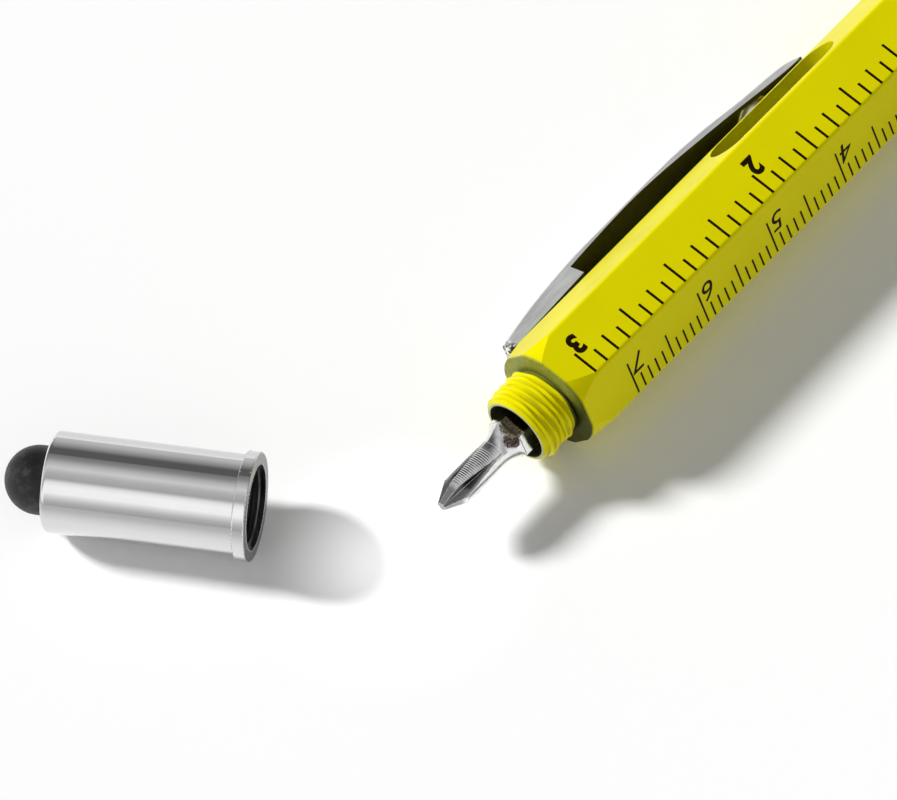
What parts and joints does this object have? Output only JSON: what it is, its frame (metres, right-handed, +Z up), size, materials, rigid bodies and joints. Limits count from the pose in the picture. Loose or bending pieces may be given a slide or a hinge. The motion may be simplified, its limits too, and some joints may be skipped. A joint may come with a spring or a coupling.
{
  "type": "multi tool pen",
  "caption": "Six-sided twist pen with scales, a level window and a clip, a screwdriver bit in its threaded neck, and a cap with a touch-screen tip.",
  "frame": {"origin": "on the pen's axis, at the shoulder where the threaded neck leaves the six-sided barrel", "axes": "+X along the pen to the writing point, +Z up, the pen lying on one ridge and on its clip, with the inch scale on top"},
  "size_m": [0.1637, 0.0399, 0.0108],
  "materials": {
    "yellow_barrel": "satin yellow lacquer on aluminium",
    "black_plastic": "matte",
    "magnet": "nickel plated",
    "bit_steel": "turned tool steel",
    "vial_clear": "clear",
    "vial_fluid": "yellow-green liquid",
    "chrome": "polished",
    "spring_steel": "bright wire",
    "brass": "turned",
    "white_plastic": "moulded",
    "nose_metal": "satin yellow lacquer on aluminium",
    "refill_metal": "drawn tube",
    "ink": "black ink",
    "black_rubber": "soft conductive rubber"
  },
  "bodies": {
    "pen_barrel": {"barrel": "yellow_barrel", "bit_socket": "black_plastic", "bit_magnet": "magnet", "vial_tube": "vial_clear", "vial_fluid": "vial_fluid", "vial_plugs": "black_plastic", "clip_anchor": "chrome", "clip_pin": "spring_steel", "clip_spring": "spring_steel", "guide_sleeve": "brass", "nose_ring": "chrome"},
    "bit": {"bit": "bit_steel"},
    "clip": {"clip": "chrome"},
    "nose": {"nose_grip": "nose_metal", "nose_cone": "chrome", "twist_cam": "brass"},
    "refill": {"follower": "white_plastic", "refill_tube": "refill_metal", "refill_ink": "ink", "refill_point": "brass", "refill_ball": "refill_metal"},
    "cap": {"cap_shell": "chrome", "cap_liner": "black_plastic", "stylus_seat": "black_plastic", "stylus_tip": "black_rubber"}
  },
  "joints": [
    {"name": "bit_pull", "type": "slide", "parent": "pen_barrel", "child": "bit", "axis": [-1, 0, 0], "range_m": [0, 0.025]},
    {"name": "clip_open", "type": "hinge", "parent": "pen_barrel", "child": "clip", "pos_m": [0.0033, 0.00538, -0.00203], "axis": [0, 0.3528, 0.9357], "range_deg": [0, 8], "stiffness_Nm_per_rad": 0.8, "springref_deg": -5.73},
    {"name": "nose_twist", "type": "hinge", "parent": "pen_barrel", "child": "nose", "pos_m": [0.088, 0, 0], "axis": [1, 0, 0], "range_deg": [0, 150]},
    {"name": "refill_feed", "type": "slide", "parent": "pen_barrel", "child": "refill", "axis": [1, 0, 0], "range_m": [0, 0.0055]},
    {"name": "cap_slide", "type": "slide", "parent": "pen_barrel", "child": "cap", "axis": [-0.4906, 0.8714, 0], "range_m": [0, 0.025]}
  ],
  "couplings": [
    {"joint": "nose_twist", "follows": "refill_feed", "rad_per_m": 475.99}
  ]
}
